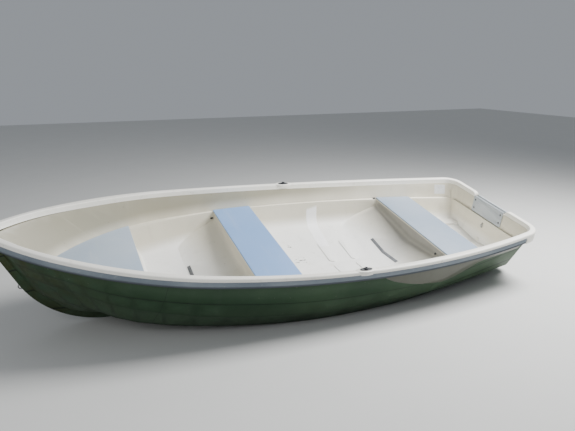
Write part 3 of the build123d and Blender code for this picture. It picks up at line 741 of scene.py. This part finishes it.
# The seat boards are flat glass fibre lids over the buoyancy boxes, the middle one bright
# pale blue and the others bleached to blue-grey. Their edges are rounded and rubbed.
def seat_finish(name, first, second, worn):
    """Gel coat between two tones, with wiped places in a third and a few specks."""
    board = Finish(name)
    broad = board.noise(2.6, 5)
    cloudy = board.noise(22.0, 6, 0.6)
    wipes = board.noise(6.0, 5, 0.6, board.stretched(2.5, 0.4, 1.0))
    colour = board.mix(first, second, broad.rise(0.3, 0.7))
    colour = board.mix(colour, worn, wipes.rise(0.54, 0.8) * 0.45)
    colour = board.mix(colour, (0.30, 0.30, 0.28), cloudy.rise(0.62, 0.8) * 0.25)
    dots = board.specks(0.05, 0.002, 0.30)
    colour = board.mix(colour, (0.14, 0.12, 0.09), dots * 0.6)
    board.set("Base Color", colour)
    board.set("Roughness", 0.40 + 0.22 * wipes)
    board.set("Coat Weight", 0.15)
    board.relief(broad * 0.3 + board.noise(260.0, 2) * 0.01, 0.003)
    return board


blue = seat_finish(
    "seat_blue_gel_coat", (0.225, 0.385, 0.680), (0.255, 0.415, 0.710), (0.34, 0.47, 0.70))
bleached = seat_finish(
    "seat_pale_gel_coat", (0.41, 0.500, 0.610), (0.47, 0.55, 0.64), (0.55, 0.60, 0.65))
greyer = seat_finish(
    "seat_grey_gel_coat", (0.265, 0.335, 0.425), (0.31, 0.375, 0.455), (0.38, 0.43, 0.475))
for node, finish, slot in (
    ("aft_thwart", greyer, "seat_pale"),
    ("middle_thwart", blue, "seat_blue"),
    ("bow_seat", bleached, "seat_pale"),
):
    board = finished_copy(node, 0.003, 3)
    fit_on(board, finish, slot, node)


# The motor pads are grey plastic sheets bolted through the transom, one each side, where
# clamps have scratched and stained them.
plastic = Finish("pad_plastic")
broad = plastic.noise(5.0, 5)
scratch = plastic.noise(40.0, 6, 0.7, plastic.stretched(1.0, 0.25, 1.6))
colour = plastic.mix((0.40, 0.44, 0.48), (0.50, 0.53, 0.56), broad.rise(0.3, 0.7))
colour = plastic.mix(colour, (0.25, 0.25, 0.24), scratch.rise(0.58, 0.75) * 0.4)
plastic.set("Base Color", colour)
plastic.set("Roughness", 0.5 + 0.2 * scratch)
plastic.relief(scratch * 0.3 + plastic.noise(300.0, 2) * 0.04, 0.0012)
for node in ("motor_pad_inner", "motor_pad_outer"):
    pad = finished_copy(node, 0.0012, 2)
    fit_on(pad, plastic, "pad_plastic", node)


# The eyes at bow and stern are stainless steel, bolted through the mouldings. Water has
# dulled them and left a little rust.
steel = Finish("dulled_steel")
broad = steel.noise(20.0, 5)
colour = steel.mix((0.30, 0.30, 0.30), (0.48, 0.48, 0.47), broad.rise(0.3, 0.7))
colour = steel.mix(colour, (0.16, 0.10, 0.06), steel.noise(60.0, 5, 0.7).rise(0.60, 0.75) * 0.5)
steel.set("Base Color", colour)
steel.set("Metallic", 0.85)
steel.set("Roughness", 0.32 + 0.25 * broad)
steel.relief(steel.noise(400.0, 3), 0.0002)
for node in ("stern_eye", "bow_eye"):
    fitting = finished_copy(node, 0.0006, 2)
    fit_on(fitting, steel, "bright_steel", node)


# The rowlock sockets are black moulded plastic gone grey and chalky, as are the caps on
# the pads' bolts. The drain plug is screwed in from outside and is as pale as the rim.
black = Finish("black_plastic")
broad = black.noise(12.0, 5)
colour = black.mix((0.022, 0.024, 0.028), (0.065, 0.068, 0.072), broad.rise(0.3, 0.75))
black.set("Base Color", colour)
black.set("Roughness", 0.45 + 0.3 * broad)
black.relief(broad * 0.2 + black.noise(300.0, 3) * 0.1, 0.0008)
for node in ("rowlock_socket_port", "rowlock_socket_starboard"):
    fitting = finished_copy(node, 0.0008, 2)
    fit_on(fitting, black, "black_plastic", node)
plug = finished_copy("drain_plug", 0.0008, 2)
fit_on(plug, pale, "black_plastic", "drain_plug")
bolts = finished_copy("motor_pad_bolts", 0.0006, 2)
fit_on(bolts, black, "bright_steel", "motor_pad_bolts")


# The foot strips are ribbed grey rubber let into the sloping floors as heel grips, one in
# front of each thwart.
strip = Finish("ribbed_strip")
broad = strip.noise(14.0, 5)
ribs = strip.node("ShaderNodeTexWave", {"bands_direction": "Y", "wave_profile": "SIN"}, {
    "Vector": strip.upright, "Scale": 55.0, "Distortion": 0.2}, "Fac")
colour = strip.mix((0.075, 0.082, 0.09), (0.16, 0.17, 0.18), broad.rise(0.3, 0.7))
colour = strip.mix(colour, (0.30, 0.31, 0.32), ribs.rise(0.6, 0.9) * 0.5)
strip.set("Base Color", colour)
strip.set("Roughness", 0.6 + 0.2 * broad)
strip.relief(ribs + broad * 0.2, 0.0008)
for node in ("aft_foot_strip", "forward_foot_strip"):
    grip = finished_copy(node, 0.0008, 2)
    fit_on(grip, strip, "strip_grey", node)


# A blank white plastic plate is stuck to the starboard wall near the stern, and follows
# the wall's curve. It is a little scuffed.
plate_aft, plate_low = 0.122, 0.416
plate_length, plate_height = 0.104, 0.082
plate_columns_across, plate_rows_up = 12, 10
plate_thickness, plate_edge_thickness = 0.0012, 0.0010
inner_solid = upright_solid("inner_moulding")
white = Finish("white_plate")
scuffs = white.noise(30.0, 5).rise(0.45, 0.75)
white.set("Base Color", white.mix((0.80, 0.82, 0.83), (0.70, 0.72, 0.73), scuffs))
white.set("Roughness", 0.4 + 0.2 * white.noise(14.0, 4))
white.relief(white.noise(60.0, 4), 0.0003)
plate_columns = []
for i in range(plate_columns_across + 1):
    x = plate_aft + plate_length * i / plate_columns_across
    heights = [plate_low + plate_height * j / plate_rows_up for j in range(plate_rows_up + 1)]
    plate_columns.append([(x, z) for z in heights])
plate_mesh = skin_patch(
    inner_solid, plate_columns, -1, False, plate_thickness, plate_edge_thickness)
plate = mesh_piece("data_plate", plate_mesh, 40)
fit_on(plate, white, None)


# Dark plastic clips on the ledge hold the thwarts' front corners down. Each is a small
# moulded block with rounded edges, turned to lie along the wall.
clip_size = (0.022, 0.016, 0.012)
clip_round = 0.002
clip_off_wall = 0.012
clip_lift = 0.004
clip_wall_height = 0.40
over_the_ledge = 0.55


def rounded_block(mesh, centre, size, turn, edge):
    """Add a closed block with rounded edges, upright, turned about the vertical."""
    made = bmesh.ops.create_cube(mesh, size=1.0)["verts"]
    place = to_rest @ Matrix.Translation(centre) @ Matrix.Rotation(turn, 4, "Z")
    bmesh.ops.transform(mesh, matrix=place @ Matrix.Diagonal((*size, 1)), verts=made)
    edges = list({e for v in made for e in v.link_edges})
    bmesh.ops.bevel(mesh, geom=edges, offset=edge, segments=2, affect="EDGES", profile=0.6)


clips = bmesh.new()
# Place of each pair of clips along the boat, and how far they are turned
# (station, turn)
for station, turn in ((0.838, 0.13), (2.360, -0.10)):
    for side in (1, -1):
        middle = Vector((station, 0, clip_wall_height))
        wall = inner_solid.ray_cast(middle, Vector((0, side, 0)), ray_reach)[0]
        y = side * (abs(wall.y) - clip_off_wall)
        above = Vector((station, y, over_the_ledge))
        ledge = inner_solid.ray_cast(above, Vector((0, 0, -1)), ray_reach)[0]
        rounded_block(clips, (station, y, ledge.z + clip_lift), clip_size, side * turn, clip_round)
clip_piece = mesh_piece("thwart_clips", clips, 30)
fit_on(clip_piece, black, "black_plastic")


# A plastic plug closes the drain of the aft seat box, and two screws hold each rowlock
# plate. All are domed heads, set on points that carry the way they face.
plug_radius, plug_height = 0.010, 0.005
screw_radius, screw_height = 0.0034, 0.0014
screw_spacing = 0.036
plate_top = 0.004
head_sides = 20
head_foot = 0.0015


def domed_heads():
    """Node tree that sets a domed head on each point, turned to the point's facing.

    A unit cylinder of three bands is drawn in to the dome's radii and levels.
    """
    tree = bpy.data.node_groups.new("domed_heads", "GeometryNodeTree")
    sockets = tree.interface
    sockets.new_socket("Points", in_out="INPUT", socket_type="NodeSocketGeometry")
    for size in ("Radius", "Height", "Foot"):
        sockets.new_socket(size, in_out="INPUT", socket_type="NodeSocketFloat")
    sockets.new_socket("Material", in_out="INPUT", socket_type="NodeSocketMaterial")
    sockets.new_socket("Heads", in_out="OUTPUT", socket_type="NodeSocketGeometry")

    def put(kind, settings, inputs, output=0):
        made = tree.nodes.new(kind)
        set_node(made, settings)
        for key, value in inputs.items():
            if isinstance(value, bpy.types.NodeSocket):
                tree.links.new(value, made.inputs[key])
            else:
                made.inputs[key].default_value = value
        return made.outputs[output]

    def sum_of(operation, a, b):
        return put("ShaderNodeMath", {"operation": operation}, {0: a, 1: b})

    given = tree.nodes.new("NodeGroupInput").outputs
    tube = put("GeometryNodeMeshCone", {"fill_type": "NGON"}, {
        "Vertices": head_sides, "Side Segments": 3,
        "Radius Top": 1.0, "Radius Bottom": 1.0, "Depth": 1.0})
    axes = put("ShaderNodeSeparateXYZ", {}, {
        "Vector": put("GeometryNodeInputPosition", {}, {})}).node.outputs
    share = put("ShaderNodeFloatCurve", {
        "points": [(0, 1), (1 / 3, 1), (2 / 3, 0.88), (1, 0.45)]}, {"Value": axes["Z"]})
    level = put("ShaderNodeFloatCurve", {
        "points": [(0, 0), (1 / 3, 0.45), (2 / 3, 0.8), (1, 1)]}, {"Value": axes["Z"]})
    radius = sum_of("MULTIPLY", share, given["Radius"])
    foot = sum_of("MULTIPLY", sum_of("LESS_THAN", axes["Z"], 0.1), given["Foot"])
    drawn = put("ShaderNodeCombineXYZ", {}, {
        "X": sum_of("MULTIPLY", axes["X"], radius),
        "Y": sum_of("MULTIPLY", axes["Y"], radius),
        "Z": sum_of("SUBTRACT", sum_of("MULTIPLY", level, given["Height"]), foot)})
    head = put("GeometryNodeSetPosition", {}, {"Geometry": tube, "Position": drawn})
    facing = put("GeometryNodeInputNamedAttribute", {"data_type": "FLOAT_VECTOR"}, {
        "Name": "facing"})
    turn = put("FunctionNodeAlignRotationToVector", {"axis": "Z"}, {"Vector": facing})
    heads = put("GeometryNodeInstanceOnPoints", {}, {
        "Points": given["Points"], "Instance": head, "Rotation": turn})
    real = put("GeometryNodeRealizeInstances", {}, {"Geometry": heads})
    done = put("GeometryNodeSetMaterial", {}, {
        "Geometry": real, "Material": given["Material"]})
    tree.links.new(done, tree.nodes.new("NodeGroupOutput").inputs["Heads"])
    return tree


def add_heads(mesh, tree, spots, radius, height):
    """Add a domed head of one size at each (place, facing), both given upright."""
    points = bpy.data.meshes.new("head_points")
    points.from_pydata([to_rest @ place for place, facing in spots], [], [])
    ways = points.attributes.new("facing", "FLOAT_VECTOR", "POINT")
    for way, (place, facing) in zip(ways.data, spots):
        way.vector = to_rest.to_3x3() @ facing
    holder = bpy.data.objects.new("head_points", points)
    bpy.context.scene.collection.objects.link(holder)
    modifier = holder.modifiers.new("heads", "NODES")
    modifier.node_group = tree
    sizes = {"Radius": radius, "Height": height, "Foot": head_foot, "Material": black.material}
    for item in tree.interface.items_tree:
        if item.in_out == "INPUT" and item.name in sizes:
            modifier[item.identifier] = sizes[item.name]
    made = evaluated_mesh(holder)
    mesh.from_mesh(made)
    bpy.data.objects.remove(holder)
    bpy.data.meshes.remove(made)


heads = bmesh.new()
tree = domed_heads()
ahead_of_plug = Vector((1.2, 0.344, 0.335))
plug_place = inner_solid.ray_cast(ahead_of_plug, Vector((-1, 0, 0)), ray_reach)[0]
add_heads(heads, tree, [(plug_place, Vector((1, 0, 0.2)))], plug_radius, plug_height)
screws = []
for side in (1, -1):
    for x in (rowlock_x - screw_spacing, rowlock_x + screw_spacing):
        deck = rim_top(x) + boss_rise + plate_top
        screws.append((Vector((x, side * rowlock_y, deck)), Vector((-sin(sheer), 0, cos(sheer)))))
add_heads(heads, tree, screws, screw_radius, screw_height)
head_piece = mesh_piece("plug_and_screws", heads, 40)
fit_on(head_piece, black, "black_plastic")


# The floor is a plain pale studio sheet, wide enough to fill every view. It isn't part
# of the boat.
bpy.ops.mesh.primitive_plane_add(size=30)
floor = bpy.context.object
floor.name = "floor"
sheet = Finish("pale_floor")
sheet.set("Base Color", sheet.mix((0.62, 0.62, 0.60), (0.66, 0.66, 0.64), sheet.noise(3.0, 4)))
sheet.set("Roughness", 0.9)
floor.data.materials.append(sheet.material)
